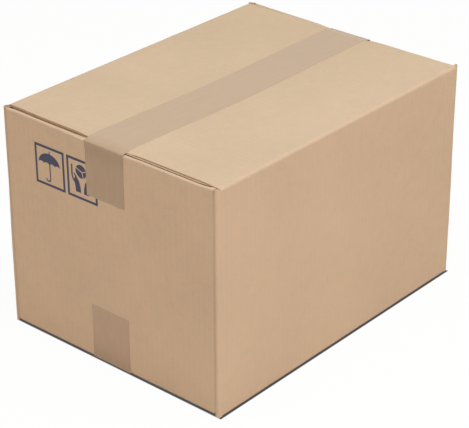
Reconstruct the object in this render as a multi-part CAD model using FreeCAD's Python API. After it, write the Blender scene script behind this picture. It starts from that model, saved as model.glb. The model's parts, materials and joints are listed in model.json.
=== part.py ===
import FreeCAD, Part
import os

# A regular slotted shipping carton, closed and sealed with one strip of packing tape over the top seam
# and one under the bottom seam.
#
# The carton is a single sheet of single-wall corrugated board. Its scores fold it into four walls and
# eight flaps, and a tab glued inside one back corner closes the tube. At each end of the tube the two
# minor flaps, on the short walls, fold in first. The two major flaps, on the long walls, lie over them
# and meet at the seam. Slots part the flaps at the corners.
#
# Frame: X along the carton's length, Y across it, Z up. The origin is in the middle of the base, at the
# underside of the bottom tape, which is the lowest plane. Sizes are in millimetres, over the outside of
# the board.

# The box
LENGTH = 350.0
WIDTH = 260.0
HEIGHT = 225.0

# The board: single wall, B flute
BOARD = 2.5
CORNER_RADIUS = 4.0  # outer face of an upright fold, along the flutes
FLAP_RADIUS = 2.7  # outer face of a flap's fold, where the inner face is crushed nearly sharp

# The flaps
FLAP_SETBACK = 5.5  # from an end wall back to the ends of the major flaps, by half a slot
FLAP_GAP = 0.4  # air between a major flap and the minor flap under it
SEAM_GAP = 1.5  # between the two major flaps
SLIT = 0.8  # between a minor flap and the corner beside it

# The glued corner
JOINT_SETBACK = 1.0  # from the outside of the short wall to the raw edge of the long wall
TAB_WIDTH = 35.0
TAB_TRIM = 3.0  # how far below the slots the tab is cut, at its fold side
TAB_TAPER = 12.0  # how much further at its free edge

# The tape: 48 mm packing tape
TAPE = 0.05
TAPE_WIDTH = 48.0
TOP_TAPE_OFFSETS = (1.8, -2.0)  # from the seam to the tape's middle, at the -X and the +X end
TOP_TAPE_OVERLAP = 55.0  # how far the tape runs down the end walls
BOTTOM_TAPE_OFFSETS = (0.5, 0.5)
BOTTOM_TAPE_OVERLAP = 58.0

# Worked out from those
HALF_LENGTH = LENGTH / 2
HALF_WIDTH = WIDTH / 2
BOTTOM = TAPE
TOP = BOTTOM + HEIGHT
MIDDLE = (BOTTOM + TOP) / 2
WALL_TOP = TOP - FLAP_RADIUS  # foot of the slots, where the folds of the major flaps start
MINOR_TOP = TOP - BOARD - FLAP_GAP  # upper face of the top minor flaps
MINOR_FOLD = MINOR_TOP - FLAP_RADIUS  # where their folds start
MAJOR_END = HALF_LENGTH - FLAP_SETBACK  # a major flap runs along X from minus this to this
FLAP_LENGTH = HALF_WIDTH  # all eight flaps are cut to one length
SPARE = 5.0  # how far a cutting shape stands clear of what it cuts

# How a point (a, b) of a section, at place s along the strip, lies in the frame
PLANES = {
    "X": lambda a, b, s: FreeCAD.Vector(s, a, b),
    "Y": lambda a, b, s: FreeCAD.Vector(a, s, b),
    "Z": lambda a, b, s: FreeCAD.Vector(a, b, s),
}


def folded_strip(outline, thickness, radius, along, start, stop):
    """A strip of sheet with right-angle folds, all to the left.

    outline is the (a, b) path of the sheet's outer face, with the sheet on its left. The strip runs from
    start to stop on the axis that along names, and each fold's outer face has the given radius.
    """
    place = PLANES[along]
    points = [FreeCAD.Vector(a, b, 0) for a, b in outline]
    steps = [(end - begin).normalize() for begin, end in zip(points, points[1:])]

    def at(point):
        return place(point.x, point.y, start)

    def line(first, last):
        return Part.LineSegment(at(first), at(last)).toShape()

    def arc(first, centre, last):
        middle = ((first + last) * 0.5 - centre).normalize() * (first - centre).Length
        return Part.Arc(at(first), at(centre + middle), at(last)).toShape()

    def face(depth):
        """The edges of the face at this depth in the sheet, and its two end points."""
        edges = []
        lefts = [FreeCAD.Vector(-step.y, step.x, 0) * depth for step in steps]
        here = points[0] + lefts[0]
        for corner, before, after in zip(points[1:], steps, steps[1:]):
            centre = corner + (after - before) * radius
            fold_start = centre - after * (radius - depth)
            fold_end = centre + before * (radius - depth)
            edges += [line(here, fold_start), arc(fold_start, centre, fold_end)]
            here = fold_end
        edges.append(line(here, points[-1] + lefts[-1]))
        return edges, points[0] + lefts[0], points[-1] + lefts[-1]

    outer, outer_start, outer_stop = face(0)
    inner, inner_start, inner_stop = face(thickness)
    ends = [line(outer_start, inner_start), line(outer_stop, inner_stop)]
    section = Part.Face(Part.Wire(Part.sortEdges(outer + inner + ends)[0]))
    return section.extrude(place(0, 0, stop) - place(0, 0, start))


def prism(corners, direction):
    """The polygon through these corners, extruded."""
    points = [FreeCAD.Vector(*corner) for corner in corners]
    return Part.Face(Part.makePolygon(points + points[:1])).extrude(FreeCAD.Vector(*direction))


def turned_over(shape):
    """The same shape at the bottom of the carton."""
    return shape.mirror(FreeCAD.Vector(0, 0, MIDDLE), FreeCAD.Vector(0, 0, 1))


def tube():
    """The four walls, from the raw edge of the back long wall round to the tab glued inside it."""
    joint_corner = (HALF_LENGTH, HALF_WIDTH - BOARD)
    walls = wall_strip(
        [
            (HALF_LENGTH - JOINT_SETBACK, HALF_WIDTH),
            (-HALF_LENGTH, HALF_WIDTH),
            (-HALF_LENGTH, -HALF_WIDTH),
            (HALF_LENGTH, -HALF_WIDTH),
            (HALF_LENGTH, 0),
        ]
    )
    last_wall = wall_strip([(HALF_LENGTH, 0), joint_corner, (HALF_LENGTH - TAB_WIDTH, joint_corner[1])])
    trimmed = last_wall.cut([tab_trim(), turned_over(tab_trim())])
    return walls.fuse(trimmed).removeSplitter()


def wall_strip(outline):
    """A run of walls between the folds of the bottom and the top major flaps."""
    return folded_strip(outline, BOARD, CORNER_RADIUS, "Z", 2 * MIDDLE - WALL_TOP, WALL_TOP)


def tab_trim():
    """What is cut off the top of the tab, so that it tapers and stays clear of the flaps."""
    fold_side = MAJOR_END
    free_side = HALF_LENGTH - TAB_WIDTH
    inside = HALF_WIDTH - 2 * BOARD - SPARE
    shoulder = WALL_TOP - TAB_TRIM
    return prism(
        [
            (fold_side, inside, shoulder),
            (free_side, inside, shoulder - TAB_TAPER),
            (free_side - SPARE, inside, shoulder - TAB_TAPER),
            (free_side - SPARE, inside, TOP),
            (fold_side, inside, TOP),
        ],
        (0, HALF_WIDTH - BOARD - inside, 0),
    )


def major_flap():
    """The top flap on the long wall at +Y: a hem of the wall, the fold and the flap."""
    return folded_strip(
        [(HALF_WIDTH, WALL_TOP - FLAP_RADIUS), (HALF_WIDTH, TOP), (SEAM_GAP / 2, TOP)],
        BOARD, FLAP_RADIUS, "X", -MAJOR_END, MAJOR_END,
    )


def minor_flap(back_side):
    """The top flap on the short wall at +X, as far as back_side on Y."""
    return folded_strip(
        [
            (HALF_LENGTH, MINOR_FOLD - FLAP_RADIUS),
            (HALF_LENGTH, MINOR_TOP),
            (HALF_LENGTH - FLAP_LENGTH, MINOR_TOP),
        ],
        BOARD, FLAP_RADIUS, "Y", SLIT - PLAIN_SIDE, back_side - SLIT,
    )


def minor_recess(back_side):
    """What is cut from the short wall at +X, which stops where its own lower flap folds."""
    front_side = -PLAIN_SIDE
    return prism(
        [
            (HALF_LENGTH + SPARE, front_side, MINOR_FOLD),
            (HALF_LENGTH + SPARE, back_side, MINOR_FOLD),
            (HALF_LENGTH - BOARD - SPARE, back_side, MINOR_FOLD),
            (HALF_LENGTH - BOARD - SPARE, front_side, MINOR_FOLD),
        ],
        (0, 0, SPARE),
    )


# Where a short wall's flat part ends on Y: beside a plain corner, and beside the glued one
PLAIN_SIDE = HALF_WIDTH - CORNER_RADIUS
JOINT_SIDE = PLAIN_SIDE - BOARD


def carton():
    """The whole sheet, folded and glued."""
    across = FreeCAD.Vector(1, 0, 0)
    middle = FreeCAD.Vector(0, 0, 0)
    recesses = [minor_recess(JOINT_SIDE), minor_recess(PLAIN_SIDE).mirror(middle, across)]
    flaps = [
        major_flap(),
        major_flap().mirror(middle, FreeCAD.Vector(0, 1, 0)),
        minor_flap(JOINT_SIDE),
        minor_flap(PLAIN_SIDE).mirror(middle, across),
    ]
    walls = tube().cut(recesses + [turned_over(recess) for recess in recesses])
    return walls.fuse(flaps + [turned_over(flap) for flap in flaps]).removeSplitter()


def tape(offsets, overlap):
    """A strip of tape along the top seam that turns down over both end walls."""
    outside = HALF_LENGTH + TAPE
    foot = TOP - overlap
    sheet = folded_strip(
        [(outside, foot), (outside, TOP + TAPE), (-outside, TOP + TAPE), (-outside, foot)],
        TAPE, FLAP_SETBACK + TAPE, "Y", -TAPE_WIDTH, TAPE_WIDTH,
    )
    left, right = offsets
    half = TAPE_WIDTH / 2
    plan = prism(
        [
            (-outside, left - half, foot - SPARE),
            (outside, right - half, foot - SPARE),
            (outside, right + half, foot - SPARE),
            (-outside, left + half, foot - SPARE),
        ],
        (0, 0, overlap + 2 * SPARE),
    )
    return sheet.common(plan)


PIECES = {
    "carton": carton(),
    "top_tape": tape(TOP_TAPE_OFFSETS, TOP_TAPE_OVERLAP),
    "bottom_tape": turned_over(tape(BOTTOM_TAPE_OFFSETS, BOTTOM_TAPE_OVERLAP)),
}

os.makedirs("parts", exist_ok=True)
for name, shape in PIECES.items():
    solids = shape.Solids
    if len(solids) != 1 or not solids[0].isValid():
        raise SystemExit(f"{name} isn't one valid solid: {len(solids)} found")
    solids[0].exportStep(f"parts/{name}.step")
    box = solids[0].BoundBox
    print(
        f"{name}: {solids[0].Volume / 1000:.2f} cm3, {len(solids[0].Faces)} faces,"
        f" {len(solids[0].Shells)} shell, z {box.ZMin:.2f} to {box.ZMax:.2f}"
    )
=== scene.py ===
import bisect
import json
import math

import bmesh
import bpy
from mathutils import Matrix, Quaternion, Vector, noise


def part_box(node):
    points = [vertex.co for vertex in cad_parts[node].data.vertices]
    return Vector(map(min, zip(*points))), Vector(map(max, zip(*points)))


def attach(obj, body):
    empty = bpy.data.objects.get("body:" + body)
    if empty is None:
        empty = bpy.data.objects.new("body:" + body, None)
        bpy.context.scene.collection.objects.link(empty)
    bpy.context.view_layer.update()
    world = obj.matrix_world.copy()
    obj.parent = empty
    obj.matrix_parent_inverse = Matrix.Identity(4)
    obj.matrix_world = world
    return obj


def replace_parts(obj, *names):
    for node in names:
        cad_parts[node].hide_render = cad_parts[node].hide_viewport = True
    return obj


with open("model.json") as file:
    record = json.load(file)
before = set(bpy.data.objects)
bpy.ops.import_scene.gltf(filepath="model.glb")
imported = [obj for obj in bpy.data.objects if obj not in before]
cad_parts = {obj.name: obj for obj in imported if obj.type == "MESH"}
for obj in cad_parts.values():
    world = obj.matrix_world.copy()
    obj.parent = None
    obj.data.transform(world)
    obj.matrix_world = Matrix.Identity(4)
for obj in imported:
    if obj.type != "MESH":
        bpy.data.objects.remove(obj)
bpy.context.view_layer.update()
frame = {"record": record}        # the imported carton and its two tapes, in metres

# ------------------------------------------------------------------------------------------------
# The carton sheet
# One sheet of single-wall corrugated board, scored and slotted flat, then folded round into four
# walls and glued at a back corner. The flaps on the short walls fold in first, and the flaps on the
# long walls lie over them. It is modelled the same way: a flat blank that is cut and then folded.
# ------------------------------------------------------------------------------------------------
carton_low, carton_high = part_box("carton")
HALF_LENGTH = carton_high.x
HALF_WIDTH = carton_high.y
TOP = carton_high.z
MIDDLE = (carton_low.z + carton_high.z) / 2
HALF_HEIGHT = TOP - MIDDLE

BOARD = 0.0025
LINER = 0.0003  # each of the two flat papers, with its glue
CHANNEL = 0.0007  # how deep the hollow between the liners looks at a cut edge
FLUTE_PITCH = 0.0064
CORNER_RADIUS = 0.004
FLAP_RADIUS = 0.0027
FLAP_SETBACK = 0.0055  # from an end wall back to the ends of the long walls' flaps
SLOT_SHARE = 0.52  # how far round the long walls' folds the slots reach
FLAP_GAP = 0.0001  # between the two layers of flaps
SEAM_GAP = 0.0015  # between the two outer flaps
SLIT = 0.0004  # beside the flaps on the short walls
JOINT_SETBACK = 0.001  # from the glued corner to the raw edge of the blank
GLUE = 0.0001
TAB_WIDTH = 0.035
TAB_TRIM = 0.003
TAB_TAPER = 0.012
HAIR = 1e-6  # too small a distance to matter

QUARTER = math.pi / 2
CORNER_RUN = CORNER_RADIUS * QUARTER
FOLD_RUN = FLAP_RADIUS * QUARTER
OUTER_SCORE = HALF_HEIGHT - FLAP_RADIUS  # above the middle, on the long walls
INNER_SCORE = OUTER_SCORE - BOARD - FLAP_GAP  # the same on the short walls
SLOT_FOOT = OUTER_SCORE + SLOT_SHARE * FOLD_RUN
OUTER_FLAP_END = OUTER_SCORE + FOLD_RUN + HALF_WIDTH - FLAP_RADIUS - SEAM_GAP / 2
INNER_FLAP_END = INNER_SCORE + FOLD_RUN + HALF_WIDTH - FLAP_RADIUS
FLAP_END = HALF_LENGTH - FLAP_SETBACK


class Panel:
    """A wall and its two flaps. Places on the blank run along it, round the outside of the carton."""

    def __init__(self, first, last, along, score, flap_inset):
        self.first = first
        self.step = (last - first).normalized()
        self.out = Vector((self.step.y, -self.step.x))
        self.start = along
        self.stop = along + (last - first).length
        self.score = score
        self.flap_start = self.start + flap_inset[0]
        self.flap_stop = self.stop - flap_inset[1]

    def carries_flap(self, along):
        """Whether the wall runs on into its flaps at this place."""
        return self.score and self.flap_start - HAIR < along < self.flap_stop + HAIR


def make_panels():
    """The four panels and the glue tab, from the blank's raw edge to the tab's free edge."""
    raw_edge = Vector((HALF_LENGTH - JOINT_SETBACK, HALF_WIDTH))
    tab_line = HALF_WIDTH - BOARD - GLUE
    corners = [
        Vector((-HALF_LENGTH, HALF_WIDTH)),
        Vector((-HALF_LENGTH, -HALF_WIDTH)),
        Vector((HALF_LENGTH, -HALF_WIDTH)),
        Vector((HALF_LENGTH, tab_line)),
    ]
    free_edge = Vector((HALF_LENGTH - TAB_WIDTH, tab_line))
    slot_side = FLAP_SETBACK - CORNER_RADIUS
    kinds = [
        (OUTER_SCORE, (FLAP_SETBACK - JOINT_SETBACK, slot_side)),
        (INNER_SCORE, (SLIT, SLIT)),
        (OUTER_SCORE, (slot_side, slot_side)),
        (INNER_SCORE, (SLIT, SLIT)),
        (None, (0, 0)),
    ]
    panels = []
    along = 0.0
    for first, last, (score, inset) in zip([raw_edge] + corners, corners + [free_edge], kinds):
        step = (last - first).normalized()
        if first != raw_edge:
            first = first + step * CORNER_RADIUS
        if last != free_edge:
            last = last - step * CORNER_RADIUS
        panels.append(Panel(first, last, along, score, inset))
        along = panels[-1].stop + CORNER_RUN
    return panels


panels = make_panels()


def divided(*spans):
    """Places from the first span's start to the last one's end, each span cut into equal steps."""
    places = [spans[0][0]]
    for start, stop, step in spans:
        count = max(1, math.ceil((stop - start) / step - 1e-6))
        places += [start + (stop - start) * n / count for n in range(1, count + 1)]
    return places


def flat_sheet(columns, rows):
    """A flat sheet facing +Z, with its grid lines at these places on X and Y."""
    sheet = bmesh.new()
    bmesh.ops.create_grid(sheet, x_segments=len(columns) - 1, y_segments=len(rows) - 1, size=0.5)
    for vertex in sheet.verts:
        column = round((vertex.co.x + 0.5) * (len(columns) - 1))
        row = round((vertex.co.y + 0.5) * (len(rows) - 1))
        vertex.co = (columns[column], rows[row], 0)
    return sheet


def face_outwards(sheet):
    """Turns the faces of a closed sheet outwards, whichever way round its shape leaves them."""
    bmesh.ops.recalc_face_normals(sheet, faces=sheet.faces[:])
    if sheet.calc_volume(signed=True) < 0:
        bmesh.ops.reverse_faces(sheet, faces=sheet.faces[:])


def thicken(sheet, thickness):
    """Gives a flat sheet its thickness, below its face."""
    bmesh.ops.solidify(sheet, geom=sheet.faces[:], thickness=thickness)
    rise = max(vertex.co.z for vertex in sheet.verts)
    bmesh.ops.translate(sheet, verts=sheet.verts[:], vec=(0, 0, -rise))
    face_outwards(sheet)


def is_cut(face):
    """Whether a face stands across the board, at a cut edge."""
    return abs(face.normal.z) < 0.5


def with_corners(faces):
    """The faces, their edges and their corners."""
    edges = dict.fromkeys(edge for face in faces for edge in face.edges)
    corners = dict.fromkeys(corner for face in faces for corner in face.verts)
    return [*faces, *edges, *corners]


def cut_blank():
    """The flat blank: grid lines close together at the scores, slots cut out, and the tab trimmed."""
    fine = 0.001
    coarse = 0.008
    margin = 0.006
    spans = []
    for panel in panels:
        if panel.score:
            inner_start = panel.flap_start + margin
            inner_stop = panel.flap_stop - margin
            spans += [
                (panel.start, panel.flap_start, fine),
                (panel.flap_start, inner_start, fine),
                (inner_start, inner_stop, coarse),
                (inner_stop, panel.flap_stop, fine),
                (panel.flap_stop, panel.stop, fine),
                (panel.stop, panel.stop + CORNER_RUN, fine),
            ]
        else:
            spans.append((panel.start, panel.stop, coarse))
    columns = divided(*spans)
    outer_fold_end = OUTER_SCORE + FOLD_RUN
    upper = divided(
        (0, INNER_SCORE - margin, coarse),
        (INNER_SCORE - margin, INNER_SCORE, fine),
        (INNER_SCORE, OUTER_SCORE, fine),
        (OUTER_SCORE, outer_fold_end, fine),
        (outer_fold_end, outer_fold_end + margin, fine),
        (outer_fold_end + margin, INNER_FLAP_END, coarse),
        (INNER_FLAP_END, OUTER_FLAP_END, coarse),
    )
    rows = [-row for row in reversed(upper[1:])] + upper
    blank = flat_sheet(columns, rows)

    def cut_away(face):
        along, up, _ = face.calc_center_median()
        rise = abs(up)
        for panel in panels:
            if panel.start < along < panel.stop:
                if not panel.score:
                    return rise > OUTER_SCORE
                if panel.carries_flap(along):
                    return panel.score == INNER_SCORE and rise > INNER_FLAP_END
                return rise > (INNER_SCORE if panel.score == INNER_SCORE else SLOT_FOOT)
        return rise > SLOT_FOOT

    waste = [face for face in blank.faces if cut_away(face)]
    bmesh.ops.delete(blank, geom=waste, context="FACES")

    tab = panels[-1]
    for side in (-1, 1):
        corner = Vector((tab.start, side * (OUTER_SCORE - TAB_TRIM), 0))
        slope = Vector((TAB_TAPER, side * TAB_WIDTH, 0))
        on_tab = [face for face in blank.faces if face.calc_center_median().x > tab.start + 2 * fine]
        bmesh.ops.bisect_plane(
            blank, geom=with_corners(on_tab), plane_co=corner, plane_no=slope, clear_outer=True
        )
    return blank


def hollow_cut_edges(blank):
    """Opens the cut edges of the board between its two liners."""
    for depth in (LINER, BOARD - LINER):
        rim = [face for face in blank.faces if is_cut(face)]
        bmesh.ops.bisect_plane(
            blank, geom=with_corners(rim), plane_co=(0, 0, -depth), plane_no=(0, 0, 1)
        )
    half_gap = BOARD / 2 - LINER
    hollow = [
        face
        for face in blank.faces
        if is_cut(face) and abs(face.calc_center_median().z + BOARD / 2) < half_gap
    ]
    bmesh.ops.inset_region(
        blank, faces=hollow, use_boundary=True, use_even_offset=True, thickness=0, depth=-CHANNEL
    )


def smooth_step(value):
    """The value held between 0 and 1, with both ends of its climb eased."""
    value = min(1.0, max(0.0, value))
    return value * value * (3 - 2 * value)


# How the scores and folds look once the board has been folded and handled
SCORE_DENT = 0.0004  # how deep the valley of an upright score is, on the short wall's side
SCORE_REACH = 0.0012
CRUSH = 0.00025  # how far a fold's crown is flattened where it was knocked
KNOCKS = 45  # how close together the knocks are
EVEN_WEAR = 0.4  # the part of a fold's wear that is even all along it
PLAIN_ARC = 2  # how square a fold is, where 2 is a plain arc
CRISP = 11  # the same for a sharp fold
FOOT_CRISP = 3  # how much squarer than a plain arc the upright folds are at the foot
FOOT_START = 0.4  # where that starts, as a share of the half height above the middle

# The near and far ends of the top: how the inner folds stand up and the flaps behind them dip
CREST = (0.0015, 0.0007)  # how far the back and the front half stand up past level
CREST_FADE = 0.02  # how far down the wall that starts
CREST_RISE = 0.001  # how much further they stand up by the back corner
RISE_SPAN = (0.03, 0.1)  # where that rise starts across the carton, and how far it takes
CREST_BEHIND = 0.0008  # how far behind the fold the flap has dropped back
DIP = (0.0009, 0.0013)  # how far it dips past level there
DIP_REACH = 0.02
HALVES_BLEND = 0.04  # how far across the seam the back half turns into the front half
TAPE_REACH = (0.025, 0.014)  # where the tape presses: half its width, then a fade
TAPE_HOLD = 0.8  # how much of the standing up and the dip the tape takes out
PRESS = 0.001  # how far it presses the ends of the outer flaps down
END_REACH = 0.006  # how much of a flap's end is pressed
KNOCKED = (0.109, 0.016)  # where the knocked corner of the front flap starts, and how far it takes
KNOCK = Vector((0.0005, 0, 0.0001))  # how far out and down that corner is pushed
SQUEEZE = 0.002  # how far the fold under that corner is squeezed up into it
SQUEEZE_REACH = 0.003
SQUEEZE_CLEAR = 0.0016  # how much further in the corner itself is thinned

# The cut near ends of the top outer flaps, on the back and the front flap
SLIP = (0.0013, -0.0007)  # how much further back they were cut
NICK = (0.0014, 0)  # how much further still at their outer corners
NICKED = (0.085, 0.04)  # where that starts, and how far it takes
LIP = (-0.0003, 0.0012)  # how far the lower liner stands out
SQUASH = (0, 0.0007)  # how far it is pushed up
FILL = (0.0005, 0.0003)  # how much of the hollow between the liners the crushed fluting fills


def grown(value, span):
    """0 before the span's start, growing to 1 over its length."""
    start, length = span
    return smooth_step((value - start) / length)


def crown_of(distance, run):
    """1 in the middle of a fold and 0 at its two ends."""
    share = distance / run
    return math.sin(math.pi * share) if 0 < share < 1 else 0.0


def bulge_of(turn, power):
    """How far a fold with this power stands out past a plain arc, where a plain arc's power is 2."""
    return (math.cos(turn) ** power + math.sin(turn) ** power) ** (-1 / power)


def taped_at(y):
    """1 under the top tape and 0 clear of it."""
    return 1 - grown(abs(y), TAPE_REACH)


def knocked_at(x, y):
    """1 at the near corner of the front flap, which was knocked flat, and 0 clear of it."""
    return grown(-y, KNOCKED) if x < 0 else 0.0


def squeezed_at(x, y, inside):
    """How far the fold is squeezed up at the knocked corner, this far inside the outer flap's end."""
    return SQUEEZE * knocked_at(x, y) * smooth_step(1 - inside / SQUEEZE_REACH)


def crest_at(x, y, beyond):
    """How far a top inner flap stands up past level, this far beyond its score."""
    squeezed = squeezed_at(x, y, beyond - FOLD_RUN + FLAP_RADIUS - FLAP_SETBACK)
    front = smooth_step(0.5 - y / HALVES_BLEND)
    crest, dip = [back + (fore - back) * front for back, fore in (CREST, DIP)]
    crest += CREST_RISE * grown(y, RISE_SPAN)
    free = 1 - TAPE_HOLD * taped_at(y)
    dropped = smooth_step((beyond - FOLD_RUN) / CREST_BEHIND)
    covered = smooth_step(1 - (beyond - FOLD_RUN) / DIP_REACH)
    level = free * (crest * (1 - dropped) - dip * dropped * covered)
    return (level * (1 - knocked_at(x, y)) + squeezed) * smooth_step(1 + beyond / CREST_FADE)


def wear_flap_end(point, outer):
    """Presses, knocks and frays the end of a top outer flap. outer is 1 on its face and 0 under it."""
    inside = FLAP_END - abs(point.x)
    near_end = smooth_step(1 - inside / END_REACH)
    knocked = knocked_at(point.x, point.y)
    point.z -= near_end * outer * (PRESS * taped_at(point.y) + KNOCK.z * knocked)
    if point.x < 0:
        flap = 0 if point.y > 0 else 1
        if inside > HAIR:
            point.x -= FILL[flap] * (inside < CHANNEL + HAIR)
        elif outer < 0.5:
            point.x -= LIP[flap] * (1 - knocked)
        nicked = grown(abs(point.y), NICKED)
        point.x += near_end * (SLIP[flap] + NICK[flap] * nicked - KNOCK.x * knocked)
        squeezed = squeezed_at(point.x, point.y, inside - SQUEEZE_CLEAR) + FLAP_GAP * knocked
        point.z += (1 - outer) * (near_end * SQUASH[flap] * (1 - knocked) + squeezed)


def panel_at(along):
    """The panel at this place on the blank, or the one before the fold there."""
    for panel in panels[:-1]:
        if along < panel.stop + CORNER_RUN + HAIR:
            return panel
    return panels[-1]


score_lines = [line for short in panels[1::2] for line in (short.start, short.stop)]


def fold(flat):
    """Where a point of the flat blank lies on the folded carton, how near it is to an upright score, which
    sets the painted shade there, and how worn it is.
    """
    along, up, depth = flat.x, flat.y, -flat.z
    side = math.copysign(1.0, up)
    rise = abs(up)
    outer = 1 - depth / BOARD
    panel = panel_at(along)
    turned = max(0.0, along - panel.stop)
    turn = min(turned / CORNER_RADIUS, QUARTER)
    out = panel.out * math.cos(turn) + panel.step * math.sin(turn)
    upright_crisp = PLAIN_ARC + FOOT_CRISP * smooth_step(FOOT_START - up / HALF_HEIGHT)
    bulge = bulge_of(turn, upright_crisp) * outer + 1 - outer
    start = panel.first + panel.step * (min(along, panel.stop) - panel.start)
    plan = start + (out * bulge - panel.out) * CORNER_RADIUS
    valley = max(math.exp(-(((along - line) / SCORE_REACH) ** 2)) for line in score_lines)
    crown = crown_of(turned, CORNER_RUN)
    inward = depth
    height = rise
    tilt = 0.0
    flapped = panel.carries_flap(along)
    inner_flap = flapped and panel.score == INNER_SCORE
    beyond = rise - panel.score if flapped else -1.0
    if beyond > 0:
        tilt = min(beyond / FLAP_RADIUS, QUARTER)
        crisp = CRISP if inner_flap or side < 0 else PLAIN_ARC
        bulge = bulge_of(tilt, crisp) * outer + 1 - outer
        reach = FLAP_RADIUS * bulge - depth
        inward = FLAP_RADIUS - reach * math.cos(tilt) + max(beyond - FOLD_RUN, 0)
        height = panel.score + reach * math.sin(tilt)
        crown = crown_of(beyond, FOLD_RUN)
    if inner_flap and side > 0:
        height += crest_at(plan.x, plan.y, beyond)
    knock = 0.5 + 0.5 * noise.noise(Vector((along * KNOCKS, up * KNOCKS, 1)))
    dent = (SCORE_DENT * valley + CRUSH * crown * knock) * outer
    wall_out = Vector((out.x, out.y, 0))
    point = Vector((plan.x, plan.y, MIDDLE + side * height)) - wall_out * inward
    point -= (wall_out * math.cos(tilt) + Vector((0, 0, side * math.sin(tilt)))) * dent
    if beyond > 0 and side > 0 and not inner_flap:
        wear_flap_end(point, outer)
    return point, valley, crown * (EVEN_WEAR + (1 - EVEN_WEAR) * knock)


PANEL_SAG = Vector((0.0006, 0.0007, 0.0006))  # how far each pair of faces has settled in the middle
PANEL_RIPPLE = 0.0003  # how much more in some places than in others
RIPPLES = 14  # how close together those places are
FACE_DEPTH = 0.008  # how deep under a face the board settles with it
FACE_FADE = 0.02
LEAN = 0.0007  # how far the tops of the end walls lean in
LEAN_REACH = 0.02
LEAN_START = 1.2  # how far below the top the lean starts, in reaches


def settled(point):
    """Where a point of the square carton lies once its faces have settled a little inwards."""
    centred = Vector((point.x, point.y, point.z - MIDDLE))
    halves = (HALF_LENGTH, HALF_WIDTH, HALF_HEIGHT)
    humps = [max(0.0, 1 - (place / half) ** 2) for place, half in zip(centred, halves)]
    ripple = 0.5 + 0.5 * noise.noise(point * RIPPLES)
    clear = smooth_step((HALF_WIDTH - abs(point.y)) / LEAN_REACH)
    lean = LEAN * clear * smooth_step((centred.z - HALF_HEIGHT) / LEAN_REACH + LEAN_START)
    moved = point.copy()
    for axis in range(3):
        inside = halves[axis] - abs(centred[axis])
        near = 1 - smooth_step((inside - FACE_DEPTH) / FACE_FADE)
        free = humps[(axis + 1) % 3] * humps[(axis + 2) % 3]
        sag = (PANEL_SAG[axis] + PANEL_RIPPLE * ripple) * free
        if axis == 0:
            sag += lean
        moved[axis] -= math.copysign(sag * near, centred[axis])
    return moved


BLANK_MAP = "blank"
SHARP_ANGLE = math.radians(35)


def map_flat(sheet):
    """Lays the flat shape out as the piece's UV map, in metres, with cut edges running on over it."""
    layer = sheet.loops.layers.uv.new(BLANK_MAP)
    for face in sheet.faces:
        cut = is_cut(face)
        for loop in face.loops:
            place = loop.vert.co
            spread = place.z if cut else 0
            loop[layer].uv = (place.x + spread, place.y + spread)


def finish_piece(name, sheet, materials):
    """Makes the piece, with its curved faces smooth and its cut edges sharp."""
    for edge in sheet.edges:
        edge.smooth = len(edge.link_faces) == 2 and edge.calc_face_angle() < SHARP_ANGLE
    for face in sheet.faces:
        face.smooth = True
    mesh = bpy.data.meshes.new(name)
    sheet.to_mesh(mesh)
    sheet.free()
    for material in materials:
        mesh.materials.append(material)
    piece = bpy.data.objects.new(name, mesh)
    bpy.context.scene.collection.objects.link(piece)
    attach(piece, "root")
    return piece


# Board finishes. The kraft paper's fibres are a group, because the liner, the cut edges and the
# print all show them.
def add_node(tree, kind, inputs=None, **settings):
    """A shader node of this kind, with its settings and with its inputs linked or set."""
    made = tree.nodes.new("ShaderNode" + kind)
    for name, value in settings.items():
        setattr(made, name, value)
    for name, value in (inputs or {}).items():
        if isinstance(value, bpy.types.NodeSocket):
            tree.links.new(value, made.inputs[name])
        else:
            made.inputs[name].default_value = value
    return made


def sum_of(tree, *terms):
    """The sum of (socket, weight) terms, plus any plain numbers."""
    total = sum(term for term in terms if not isinstance(term, tuple))
    for socket, weight in [term for term in terms if isinstance(term, tuple)]:
        made = add_node(tree, "Math", {0: socket, 1: weight, 2: total}, operation="MULTIPLY_ADD")
        total = made.outputs[0]
    return total


def new_group(name, inputs, outputs):
    """An empty shader group with these sockets, and its two end nodes."""
    group = bpy.data.node_groups.new(name, "ShaderNodeTree")
    for label, kind, value in inputs:
        socket = group.interface.new_socket(label, in_out="INPUT", socket_type="NodeSocket" + kind)
        if value is not None:
            socket.default_value = value
    for label, kind in outputs:
        group.interface.new_socket(label, in_out="OUTPUT", socket_type="NodeSocket" + kind)
    return group, group.nodes.new("NodeGroupInput"), group.nodes.new("NodeGroupOutput")


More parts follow.
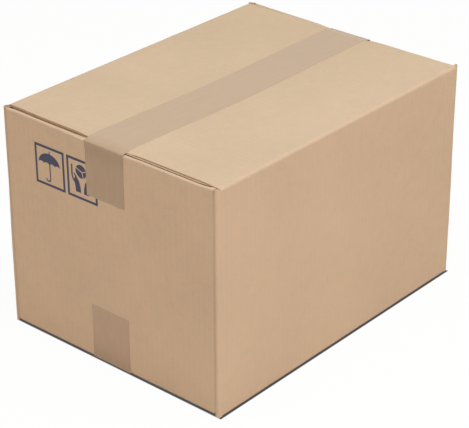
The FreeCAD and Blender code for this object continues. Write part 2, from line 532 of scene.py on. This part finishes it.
def make_kraft_fibres():
    """Kraft paper: cloudy stock, long fibres across the flutes, short stray fibres and dark specks."""
    group, given, made = new_group(
        "kraft_fibres",
        [("Color", "Color", (0.5, 0.4, 0.3, 1)), ("Vector", "Vector", None), ("Contrast", "Float", 1.0)],
        [("Color", "Color"), ("Roughness", "Float"), ("Height", "Float")],
    )
    place = given.outputs["Vector"]
    drift = add_node(group, "TexNoise", {"Vector": place, "Scale": 11, "Detail": 2})
    cloud = add_node(group, "TexNoise", {"Vector": place, "Scale": 85, "Detail": 5, "Roughness": 0.62})
    along = add_node(group, "Mapping", {"Vector": place, "Scale": (260, 1900, 1)})
    fibre = add_node(
        group, "TexNoise", {"Vector": along.outputs[0], "Scale": 1, "Detail": 3, "Distortion": 0.6}
    )
    astray = add_node(group, "Mapping", {"Vector": place, "Rotation": (0, 0, 0.6), "Scale": (420, 2600, 1)})
    stray = add_node(
        group, "TexNoise", {"Vector": astray.outputs[0], "Scale": 1, "Detail": 1, "Distortion": 0.9}
    )
    specks = add_node(group, "TexNoise", {"Vector": place, "Scale": 1300, "Detail": 1})
    speck = add_node(
        group, "MapRange", {"Value": specks.outputs[0], "From Min": 0.69, "From Max": 0.76}, clamp=True
    )
    shade = sum_of(
        group,
        -0.44,
        (drift.outputs[0], 0.2),
        (cloud.outputs[0], 0.24),
        (fibre.outputs[0], 0.28),
        (stray.outputs[0], 0.16),
        (speck.outputs[0], -0.3),
    )
    contrast = given.outputs["Contrast"]
    strength = add_node(group, "Math", {0: shade, 1: contrast, 2: 1.0}, operation="MULTIPLY_ADD")
    warmth = sum_of(group, 0.93, (cloud.outputs[0], 0.14))
    toned = add_node(
        group,
        "HueSaturation",
        {"Color": given.outputs["Color"], "Value": strength.outputs[0], "Saturation": warmth},
    )
    group.links.new(toned.outputs[0], made.inputs["Color"])
    roughness = sum_of(group, 0.76, (fibre.outputs[0], 0.16), (cloud.outputs[0], 0.06))
    group.links.new(roughness, made.inputs["Roughness"])
    height = sum_of(group, (fibre.outputs[0], 0.035), (stray.outputs[0], 0.02), (cloud.outputs[0], 0.05))
    group.links.new(height, made.inputs["Height"])
    return group


kraft_fibres = make_kraft_fibres()


def base_color(slot):
    """The record's colour for a slot."""
    found = [entry for entry in frame["record"]["materials"] if entry["slot"] == slot]
    return (*found[0]["base_color"], 1)


def new_material(name, roughness=0.8):
    """A material with its node tree and its surface shader."""
    material = bpy.data.materials.new(name)
    material.use_nodes = True
    surface = material.node_tree.nodes["Principled BSDF"]
    surface.inputs["Roughness"].default_value = roughness
    return material, material.node_tree, surface


def make_liner_material():
    """The outer paper: fibres, the faint washboard of the flutes under it, in relief and with a little
    painted shade, painted shade in the valleys beside the upright scores, and worn folds.
    """
    material, tree, surface = new_material("kraft_liner")
    surface.inputs["Specular IOR Level"].default_value = 0.3
    place = add_node(tree, "UVMap", uv_map=BLANK_MAP).outputs[0]
    fibres = add_node(tree, "Group", node_tree=kraft_fibres)
    tree.links.new(place, fibres.inputs["Vector"])
    fibres.inputs["Color"].default_value = base_color("kraft_board")
    fibres.inputs["Contrast"].default_value = 0.75
    wave_scale = math.pi / 10 / FLUTE_PITCH
    flutes = add_node(tree, "TexWave", {"Vector": place, "Scale": wave_scale, "Distortion": 0.0})
    patches = add_node(tree, "TexNoise", {"Vector": place, "Scale": 22, "Detail": 2})
    washboard = add_node(
        tree, "Math", {0: flutes.outputs["Fac"], 1: patches.outputs[0]}, operation="MULTIPLY"
    )
    score = add_node(tree, "Attribute", attribute_name="score").outputs["Fac"]
    worn = add_node(tree, "Attribute", attribute_name="worn").outputs["Fac"]
    # Painted shade: the paper is darker in the valleys beside the upright scores and a little along the
    # flutes' washboard, where shade falls.
    shade = sum_of(tree, 1.0, (score, -0.17), (worn, 0.02), (washboard.outputs[0], -0.03))
    paint = add_node(tree, "HueSaturation", {"Color": fibres.outputs["Color"], "Value": shade})
    tree.links.new(paint.outputs[0], surface.inputs["Base Color"])
    tree.links.new(fibres.outputs["Roughness"], surface.inputs["Roughness"])
    height = sum_of(tree, (fibres.outputs["Height"], 1.0), (washboard.outputs[0], 0.05))
    bump = add_node(tree, "Bump", {"Height": height, "Distance": 0.001, "Strength": 0.8})
    tree.links.new(bump.outputs[0], surface.inputs["Normal"])
    return material


def make_cut_edge_material():
    """Raw board where it was slotted: the same paper with torn, dusty fibres."""
    material, tree, surface = new_material("cut_board")
    surface.inputs["Specular IOR Level"].default_value = 0.2
    place = add_node(tree, "UVMap", uv_map=BLANK_MAP).outputs[0]
    fibres = add_node(tree, "Group", {"Contrast": 1.6}, node_tree=kraft_fibres)
    tree.links.new(place, fibres.inputs["Vector"])
    fibres.inputs["Color"].default_value = base_color("kraft_board")
    tree.links.new(fibres.outputs["Color"], surface.inputs["Base Color"])
    tree.links.new(fibres.outputs["Roughness"], surface.inputs["Roughness"])
    bump = add_node(tree, "Bump", {"Height": fibres.outputs["Height"], "Distance": 0.003, "Strength": 1.0})
    tree.links.new(bump.outputs[0], surface.inputs["Normal"])
    return material


kraft_liner = make_liner_material()
cut_board = make_cut_edge_material()


CUT_SHARE = 0.45  # how much of the board, either side of its middle, is bare at a cut edge


def fold_carton():
    """The blank, thickened and hollowed at its cut edges, then folded shut."""
    sheet = cut_blank()
    thicken(sheet, BOARD)
    hollow_cut_edges(sheet)
    map_flat(sheet)
    # Each point keeps how near it is to an upright score, which the liner turns into painted shade, and how
    # worn it is.
    score_shade_layer = sheet.verts.layers.float.new("score")
    worn_layer = sheet.verts.layers.float.new("worn")
    for face in sheet.faces:
        bare = abs(face.calc_center_median().z + BOARD / 2) < CUT_SHARE * BOARD
        face.material_index = 1 if bare else 0
    for vertex in sheet.verts:
        point, valley, worn = fold(vertex.co)
        vertex[score_shade_layer] = valley
        vertex[worn_layer] = worn
        vertex.co = settled(point)
    return finish_piece("carton_sheet", sheet, [kraft_liner, cut_board])


carton_sheet = fold_carton()
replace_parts(carton_sheet, "carton")

# ------------------------------------------------------------------------------------------------
# The fluting at the corner slots
# The board's wavy middle paper. It shows where the slots were cut across it, at the eight corners,
# as a short wave standing between the two liners.
# ------------------------------------------------------------------------------------------------
FLUTING = 0.0002
FLUTING_RECESS = 0.0002
FLUTING_STEP = 0.0004


def make_slot_fluting():
    """The eight lengths of wave, each folded round its corner with the board."""
    fluting = bmesh.new()
    for before, after in zip(panels, panels[1:]):
        start = before.flap_stop if before.score == OUTER_SCORE else before.stop
        stop = after.flap_start if after.score == OUTER_SCORE else after.start
        for side in (-1, 1):
            low = SLOT_FOOT - CHANNEL
            high = SLOT_FOOT - FLUTING_RECESS
            rows = sorted((side * low, side * high))
            wave = flat_sheet(divided((start, stop, FLUTING_STEP)), rows)
            thicken(wave, FLUTING)
            map_flat(wave)
            swing = BOARD / 2 - LINER - FLUTING
            for vertex in wave.verts:
                crest = math.sin(2 * math.pi * vertex.co.x / FLUTE_PITCH)
                vertex.co.z += -BOARD / 2 + FLUTING / 2 + swing * crest
                vertex.co = settled(fold(vertex.co)[0])
            part = bpy.data.meshes.new("wave")
            wave.to_mesh(part)
            wave.free()
            fluting.from_mesh(part)
            bpy.data.meshes.remove(part)
    finish_piece("slot_fluting", fluting, [cut_board])


make_slot_fluting()

# ------------------------------------------------------------------------------------------------
# The packing tapes
# Two strips of 48 mm tan film with adhesive on one side. One closes the top seam and one the bottom
# seam, and both turn over the ends of the carton and are pressed down on its end walls.
# ------------------------------------------------------------------------------------------------
TAPE_WIDTH = 0.048
TAPE_FILM = 0.00004
TAPE_DROP = 0.0019  # how far the tape has sloped down where it turns over the end of the carton
TAPE_SLOPE = 0.0105  # how far back from the turn the slope starts
TAPE_EASE = (0.0012, 0.002, 0.002, 0.0012)  # how far its bends are eased, at the turns and the slopes
EASE_STEPS = 6
TAPE_STEP = 0.004
TURN_REACH = 0.01  # how far down a leg the tape has fully turned
TEETH = 0.0016  # the cutter's teeth across the ends of a strip
TOOTH_DEPTH = 0.0005
TOOTH_NOISE = 300  # how quickly the teeth change in depth from one to the next
END_WANDER = 0.0006  # how far the torn ends stray from straight
END_NOISE = 90  # how close together those strays are
TORN_PAST = 0.0009  # how far the longest teeth run past the strip's even length
NECKED = 0.03  # how much narrower a strip is where it was pulled down over the end
SIDE_WANDER = 0.0002  # how far the strip strays to its sides
SIDE_NOISE = 60
BEND_SHADE_DROP = 0.002  # where the painted shade of the turn is darkest, past the turn
BEND_SHADE_REACH = (0.0065, 0.009)  # how far from there that painted shade reaches, back to the top and down the leg
RIM = 0.0012  # the darker rim along both sides


def make_tape_material():
    """Tan film: lengthwise streaks of adhesive, patches with air under them, soft ripples, dark rims, and
    painted shade past the turn and down the legs.
    """
    material, tree, surface = new_material("tan_film", roughness=0.34)
    place = add_node(tree, "UVMap", uv_map=BLANK_MAP).outputs[0]
    drawn = add_node(tree, "Mapping", {"Vector": place, "Scale": (14, 420, 1)})
    streak = add_node(tree, "TexNoise", {"Vector": drawn.outputs[0], "Scale": 1, "Detail": 3})
    airy = add_node(tree, "Mapping", {"Vector": place, "Scale": (60, 150, 1)})
    air = add_node(tree, "TexNoise", {"Vector": airy.outputs[0], "Scale": 1, "Detail": 4, "Roughness": 0.6})
    across = add_node(tree, "SeparateXYZ", {0: place}).outputs[1]
    aside = add_node(tree, "Math", {0: across}, operation="ABSOLUTE").outputs[0]
    half = TAPE_WIDTH / 2
    rim = add_node(tree, "MapRange", {"Value": aside, "From Min": half - RIM, "From Max": half}, clamp=True)
    bend_shade = add_node(tree, "Attribute", attribute_name="bend_shade").outputs["Fac"]
    leg_shade = add_node(tree, "Attribute", attribute_name="leg_shade").outputs["Fac"]
    # Painted shade: the film is darker just past the turn and on the legs down the end walls, where less
    # light falls than on the top.
    shade = sum_of(
        tree,
        0.94,
        (streak.outputs[0], 0.16),
        (air.outputs[0], 0.16),
        (rim.outputs[0], -0.12),
        (bend_shade, -0.15),
        (leg_shade, -0.12),
    )
    paint = add_node(tree, "HueSaturation", {"Color": base_color("packing_tape"), "Value": shade})
    tree.links.new(paint.outputs[0], surface.inputs["Base Color"])
    tree.links.new(sum_of(tree, 0.24, (air.outputs[0], 0.2)), surface.inputs["Roughness"])
    height = sum_of(tree, (streak.outputs[0], 0.03), (air.outputs[0], 0.12))
    bump = add_node(tree, "Bump", {"Height": height, "Distance": 0.001, "Strength": 0.7})
    tree.links.new(bump.outputs[0], surface.inputs["Normal"])
    return material


tan_film = make_tape_material()


class BentLine:
    """A line through some corners, each one eased over its cut on either side."""

    def __init__(self, corners, cuts):
        self.nodes = [corners[0]]
        for before, corner, after, cut in zip(corners, corners[1:], corners[2:], cuts):
            first = corner + (before - corner).normalized() * cut
            last = corner + (after - corner).normalized() * cut
            for n in range(EASE_STEPS + 1):
                share = n / EASE_STEPS
                self.nodes.append(first.lerp(corner, share).lerp(corner.lerp(last, share), share))
        self.nodes.append(corners[-1])
        self.marks = [0.0]
        for here, there in zip(self.nodes, self.nodes[1:]):
            self.marks.append(self.marks[-1] + (there - here).length)

    def at(self, run, rise):
        """The place this far along the line and this far out to its left."""
        index = max(1, min(bisect.bisect_right(self.marks, run), len(self.nodes) - 1)) - 1
        step = (self.nodes[index + 1] - self.nodes[index]).normalized()
        return self.nodes[index] + step * (run - self.marks[index]) + Vector((-step.y, step.x)) * rise


def make_tape(name, node, side, centre_at, leg_shade_share):
    """A strip over a seam: side is 1 at the top and -1 at the bottom.

    centre_at gives its middle on Y from the place on X and the drop down a leg, and the last argument is
    how much painted shade its legs down the end walls take.
    """
    low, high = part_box(node)
    outside = max(-low.x, high.x)
    lid, foot = (high.z, low.z) if side > 0 else (low.z, high.z)
    lid = side * (lid - MIDDLE)
    foot = side * (foot - MIDDLE)
    half_path = [
        Vector((-outside, foot)),
        Vector((-outside, lid - TAPE_DROP)),
        Vector((-outside + TAPE_SLOPE, lid)),
    ]
    path = half_path + [Vector((-corner.x, corner.y)) for corner in reversed(half_path)]
    line = BentLine(path, TAPE_EASE)
    whole = line.marks[-1]
    half = TAPE_WIDTH / 2
    columns = [0.0]
    for here, there in zip(line.marks, line.marks[1:]):
        columns += divided((here, there, TAPE_STEP))[1:]
    strip = flat_sheet(columns, divided((-half, half, TEETH / 2)))
    thicken(strip, TAPE_FILM)
    map_flat(strip)
    bend_shade_layer = strip.verts.layers.float.new("bend_shade")
    leg_shade_layer = strip.verts.layers.float.new("leg_shade")
    for vertex in strip.verts:
        run, across, depth = vertex.co
        jagged = 1 + noise.noise(Vector((across * TOOTH_NOISE, 0, side)))
        tooth = abs(across / TEETH % 1 - 0.5) * 2 * TOOTH_DEPTH * jagged
        tooth += END_WANDER * (1 + noise.noise(Vector((across * END_NOISE, 5, side))))
        torn = tooth - TORN_PAST
        run += torn if run < HAIR else -torn if run > whole - HAIR else 0
        out, up = line.at(run, depth)
        drop = max(0.0, lid - TAPE_DROP - up)
        turned = smooth_step(drop / TURN_REACH)
        across *= 1 - NECKED * turned
        across += SIDE_WANDER * noise.noise(Vector((run * SIDE_NOISE, 2 * side, 0)))
        across += centre_at(out, drop)
        # Painted shade: how dark the film is painted just past the turn and down the legs.
        past_bend_shade = drop - (outside - abs(out)) - BEND_SHADE_DROP
        vertex[leg_shade_layer] = turned * leg_shade_share
        vertex[bend_shade_layer] = math.exp(-((past_bend_shade / BEND_SHADE_REACH[past_bend_shade > 0]) ** 2))
        vertex.co = settled(Vector((out, across, MIDDLE + side * up)))
    face_outwards(strip)
    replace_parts(finish_piece(name, strip, [tan_film]), node)


TOP_OFFSET = -0.0022  # from the middle of the carton to the top strip's, halfway along
TOP_NEAR = (0.0041, 0.165)  # how far it bends to the back by the near end, and over what length
TOP_FAR = (0.0014, 0.12)  # the same at the far end
TOP_TURN = 0.0008  # how far its near end goes to the front again where it turns down
BOTTOM_OFFSET = 0.0003
BOTTOM_LEAN = 0.012  # how steeply the bottom strip's ends lean to the back
# How much painted shade the legs of each strip take.
TOP_LEG_SHADE = 1.0
BOTTOM_LEG_SHADE = 0.35


def top_centre(x, drop):
    """It was laid by hand, so it runs askew and bends a little at both ends."""
    near_bend, near_length = TOP_NEAR
    far_bend, far_length = TOP_FAR
    near = near_bend * smooth_step(-x / near_length) - TOP_TURN * smooth_step(drop / TURN_REACH) * (x < 0)
    return near + TOP_OFFSET + far_bend * smooth_step(x / far_length)


def bottom_centre(_, drop):
    """Its ends lean a little to the back."""
    return BOTTOM_OFFSET + BOTTOM_LEAN * drop


make_tape("top_tape_strip", "top_tape", 1, top_centre, TOP_LEG_SHADE)
make_tape("bottom_tape_strip", "bottom_tape", -1, bottom_centre, BOTTOM_LEG_SHADE)

# ------------------------------------------------------------------------------------------------
# The printed marks
# Two framed handling marks in dark blue ink, printed on the end wall before the blank was folded: an
# open umbrella, and a globe held in two hands. The tape's end covers part of the second.
# ------------------------------------------------------------------------------------------------
INK = 0.00001
INK_COLOR = (0.066, 0.07, 0.11, 1)
INK_GRID = 0.0045  # how finely a mark is divided, so that it follows the settled wall
INK_LINES = 4  # how many grid lines lie on each side of its middle
MARK_WIDTH = 0.0348
MARK_HEIGHT = 0.0374
MARK_LINE = 0.0025
MARK_LEVEL = 0.1826
UMBRELLA_Y = 0.0703
GLOBE_Y = 0.02975


def arc(centre, radii, start, stop, count):
    """Points along part of an ellipse, from one angle to another in degrees."""
    angles = [math.radians(start + (stop - start) * n / count) for n in range(count + 1)]
    return [
        (centre[0] + radii[0] * math.cos(angle), centre[1] + radii[1] * math.sin(angle)) for angle in angles
    ]


def add_shape(ink, outline, mirrored=False):
    """A flat shape with this outline, given as (across, up) points in metres."""
    points = [(-across, up) for across, up in outline] if mirrored else outline
    ink.faces.new([ink.verts.new((across, up, 0)) for across, up in points])


def add_frame(ink):
    """The square line round a mark."""
    made = bmesh.ops.create_grid(ink, x_segments=1, y_segments=1, size=0.5)
    size = (MARK_WIDTH + MARK_LINE, MARK_HEIGHT + MARK_LINE, 1)
    bmesh.ops.scale(ink, verts=made["verts"], vec=size)
    field = [face for face in ink.faces if face.verts[0] in made["verts"]]
    bmesh.ops.inset_region(ink, faces=field, use_boundary=True, use_even_offset=True, thickness=MARK_LINE)
    bmesh.ops.delete(ink, geom=field, context="FACES")


def print_mark(name, y, ink):
    """Lays a mark's flat ink on the end wall."""
    for normal in ((1, 0, 0), (0, 1, 0)):
        for step in range(-INK_LINES, INK_LINES + 1):
            geometry = ink.verts[:] + ink.edges[:] + ink.faces[:]
            plane = Vector(normal) * step * INK_GRID
            bmesh.ops.bisect_plane(ink, geom=geometry, dist=HAIR, plane_co=plane, plane_no=normal)
    for face in ink.faces:
        if face.normal.z < 0:
            face.normal_flip()
    thicken(ink, INK)
    map_flat(ink)
    for vertex in ink.verts:
        across, up, depth = vertex.co
        wall = settled(Vector((-HALF_LENGTH, y - across, MARK_LEVEL + up)))
        vertex.co = wall + Vector((-INK - depth, 0, 0))
    face_outwards(ink)
    finish_piece(name, ink, [blue_ink])


def make_ink_material():
    """Thin flexo ink: the fibres of the kraft show through where it is light."""
    material, tree, surface = new_material("blue_ink", roughness=0.6)
    surface.inputs["Specular IOR Level"].default_value = 0.3
    place = add_node(tree, "TexCoord").outputs["Object"]
    fibres = add_node(tree, "Group", {"Contrast": 1.2}, node_tree=kraft_fibres)
    tree.links.new(place, fibres.inputs["Vector"])
    fibres.inputs["Color"].default_value = INK_COLOR
    tree.links.new(fibres.outputs["Color"], surface.inputs["Base Color"])
    tree.links.new(fibres.outputs["Roughness"], surface.inputs["Roughness"])
    bump = add_node(tree, "Bump", {"Height": fibres.outputs["Height"], "Distance": 0.001, "Strength": 0.8})
    tree.links.new(bump.outputs[0], surface.inputs["Normal"])
    return material


blue_ink = make_ink_material()


def print_umbrella():
    """The frame and an open umbrella, its canopy and handle drawn as one outline."""
    ink = bmesh.new()
    add_frame(ink)
    half = 0.0137
    left = -0.0006 - half
    base = 0.0016
    rise = 0.0113
    ferrule = 0.0005
    tip = 0.0155
    canopy = arc((left + half, base), (half, rise), 0, 84, 14)
    canopy += [(ferrule, tip), (-ferrule, tip)]
    canopy += arc((left + half, base), (half, rise), 90, 180, 14)
    shaft = 0.0007
    hook = 0.0026
    foot = -0.0124
    neck = base + 0.0004
    outside = arc((-hook, foot), (hook + shaft, hook + shaft), 0, -180, 12)
    inside = arc((-hook, foot), (hook - shaft, hook - shaft), -180, 0, 12)
    handle = [(-shaft, neck)] + inside[::-1] + outside[::-1] + [(shaft, neck)]
    scallops = 4
    scallop_rise = 0.0018
    for n in range(scallops):
        middle = left + half * (2 * n + 1) / scallops
        scallop = arc((middle, base), (half / scallops, scallop_rise), 180, 0, 6)[1:]
        canopy += [place for place in scallop if abs(place[0]) > shaft]
        if n == scallops // 2 - 1:
            canopy += handle
    add_shape(ink, canopy[:-1])
    print_mark("umbrella_mark", UMBRELLA_Y, ink)


def print_globe():
    """The frame, a globe in three parts with pale seams between them, and two raised hands."""
    ink = bmesh.new()
    add_frame(ink)
    centre = Vector((-0.00075, 0.0081))
    hub = Vector((0.0006, 0.0076))
    radius = 0.0067
    gap = 4
    seam_gap = 0.0006
    seams = (-68, 17, 157, 292)  # where the three seams meet the rim, in degrees
    for start, stop in zip(seams, seams[1:]):
        rim = arc(centre, (radius, radius), start + gap, stop - gap, 12)
        middle = math.radians((start + stop) / 2)
        point = hub + Vector((math.cos(middle), math.sin(middle))) * seam_gap
        add_shape(ink, rim + [tuple(point)])
    hand = [
        (-0.0083, -0.0135),
        (-0.0018, -0.0135),
        (-0.0022, -0.0080),
        (-0.0036, -0.0025),
        (-0.0060, 0.0008),
        (-0.0093, 0.0050),
        (-0.0102, 0.0044),
        (-0.0087, 0.0004),
        (-0.0102, -0.0014),
        (-0.0113, 0.0016),
        (-0.0113, 0.0126),
        (-0.0130, 0.0126),
        (-0.0132, 0.0018),
        (-0.0121, -0.0016),
        (-0.0095, -0.0050),
        (-0.0086, -0.0090),
    ]
    add_shape(ink, hand)
    add_shape(ink, hand, mirrored=True)
    print_mark("globe_mark", GLOBE_Y, ink)


print_umbrella()
print_globe()

# ------------------------------------------------------------------------------------------------
# The studio
# A white floor with a thin painted line of shadow along the carton's foot, a large soft lamp overhead, two
# weak ones in front and to the left, an even pale surround, and the camera.
# ------------------------------------------------------------------------------------------------
FLOOR_COLOR = (0.86, 0.8, 0.755, 1)
FLOOR_SPAN = 4
FLOOR_DROP = 0.00002  # how far it lies under the carton
FLOOR_LIFT = 0.95  # how much of the white the camera sees is the floor's own
CONTACT = (-0.001, 0.0003)  # where the painted contact shadow starts to fade, past the short and the long walls
CONTACT_SHIFT = 0.0013  # how far it all lies towards the front
CONTACT_FADE = 0.001
# How dark the painted contact shadow is: an emission only the camera sees.
PAINTED_SHADOW_TONE = 0.075
SURROUND_COLOR = (0.412, 0.358, 0.3, 1)
WHITE = (1, 1, 1, 1)
LAMP_AIM = Vector((0, 0, 0.1))


def make_floor():
    """A white sweep. The camera sees it nearly shadowless, but for a painted dark line of shadow along the
    carton's foot.
    """
    sheet = bmesh.new()
    bmesh.ops.create_grid(sheet, x_segments=1, y_segments=1, size=FLOOR_SPAN)
    bmesh.ops.translate(sheet, verts=sheet.verts[:], vec=(0, 0, -FLOOR_DROP))
    mesh = bpy.data.meshes.new("floor")
    sheet.to_mesh(mesh)
    sheet.free()
    floor = bpy.data.objects.new("floor", mesh)
    bpy.context.scene.collection.objects.link(floor)
    material = bpy.data.materials.new("white_floor")
    material.use_nodes = True
    tree = material.node_tree
    tree.nodes.clear()
    flat = add_node(tree, "TexCoord").outputs["Object"]
    shifted = add_node(tree, "Mapping", {"Vector": flat, "Location": (0, CONTACT_SHIFT, 0)})
    place = add_node(tree, "SeparateXYZ", {0: shifted.outputs[0]})
    clear = 0.0
    for socket, half, start in zip(place.outputs, (HALF_LENGTH, HALF_WIDTH), CONTACT):
        away = add_node(tree, "Math", {0: socket}, operation="ABSOLUTE").outputs[0]
        ramp = {"Value": away, "From Min": half + start, "From Max": half + start + CONTACT_FADE}
        side = add_node(tree, "MapRange", ramp, clamp=True).outputs[0]
        clear = add_node(tree, "Math", {0: side, 1: clear}, operation="MAXIMUM").outputs[0]
    matt = add_node(tree, "BsdfDiffuse", {"Color": FLOOR_COLOR}).outputs[0]
    glow = add_node(tree, "Emission", {"Strength": 1.0}).outputs[0]
    # Painted shadow: in the band along the foot, the camera sees this dark emission instead of the floor.
    dark = add_node(tree, "Emission", {"Strength": PAINTED_SHADOW_TONE}).outputs[0]
    lifted = add_node(tree, "MixShader", {0: FLOOR_LIFT, 1: matt, 2: glow}).outputs[0]
    seen = add_node(tree, "MixShader", {0: clear, 1: dark, 2: lifted}).outputs[0]
    camera_ray = add_node(tree, "LightPath").outputs["Is Camera Ray"]
    floor_shader = add_node(tree, "MixShader", {0: camera_ray, 1: matt, 2: seen}).outputs[0]
    add_node(tree, "OutputMaterial", {0: floor_shader})
    mesh.materials.append(material)


def add_lamp(name, place, size, power, color):
    """A square soft lamp aimed at the carton."""
    lamp = bpy.data.lights.new(name, "AREA")
    lamp.shape = "SQUARE"
    lamp.size = size
    lamp.energy = power
    lamp.color = color
    lamp_object = bpy.data.objects.new(name, lamp)
    lamp_object.location = place
    lamp_object.rotation_euler = (LAMP_AIM - Vector(place)).to_track_quat("-Z", "Y").to_euler()
    bpy.context.scene.collection.objects.link(lamp_object)


def light_studio():
    """The surround, white where the camera or a reflection sees it, and the three lamps."""
    world = bpy.data.worlds.new("studio")
    bpy.context.scene.world = world
    world.use_nodes = True
    tree = world.node_tree
    tree.nodes.clear()
    path = add_node(tree, "LightPath")
    seen = 0.0
    for ray in ("Is Camera Ray", "Is Glossy Ray", "Is Transmission Ray"):
        seen = add_node(tree, "Math", {0: path.outputs[ray], 1: seen}, operation="MAXIMUM").outputs[0]
    glow = add_node(tree, "Mix", {0: seen, 6: SURROUND_COLOR, 7: WHITE}, data_type="RGBA")
    sky = add_node(tree, "Background", {"Color": glow.outputs[2], "Strength": 1.0}).outputs[0]
    add_node(tree, "OutputWorld", {0: sky})
    add_lamp("overhead", place=(-0.25, -0.45, 2.2), size=1.6, power=38.5, color=(0.835, 1.0, 1.11))
    add_lamp("front", place=(-0.25, -1.0, 0.65), size=1.2, power=3.7, color=(1.065, 1.0, 1.08))
    add_lamp("left", place=(-1.4, 0.5, 0.6), size=1.2, power=2.0, color=(1.17, 1.0, 1.0))


def place_camera():
    """A long lens, above the near corner of the end with the marks."""
    heading = math.radians(40.91)
    tip = math.radians(27.714)
    roll = math.radians(-0.153)
    distance = 1.698
    aim = Vector((-0.00064, 0.00197, 0.08904))
    level = math.cos(tip)
    forward = Vector((level * math.cos(heading), level * math.sin(heading), -math.sin(tip)))
    data = bpy.data.cameras.new("camera")
    data.sensor_width = 36
    data.lens = 134.86
    data.clip_end = 50
    camera = bpy.data.objects.new("camera", data)
    camera.location = aim - forward * distance
    turned = forward.to_track_quat("-Z", "Y") @ Quaternion((0, 0, 1), roll)
    camera.rotation_euler = turned.to_euler()
    bpy.context.scene.collection.objects.link(camera)
    bpy.context.scene.camera = camera


make_floor()
light_studio()
place_camera()
bpy.context.scene.view_settings.view_transform = "Standard"
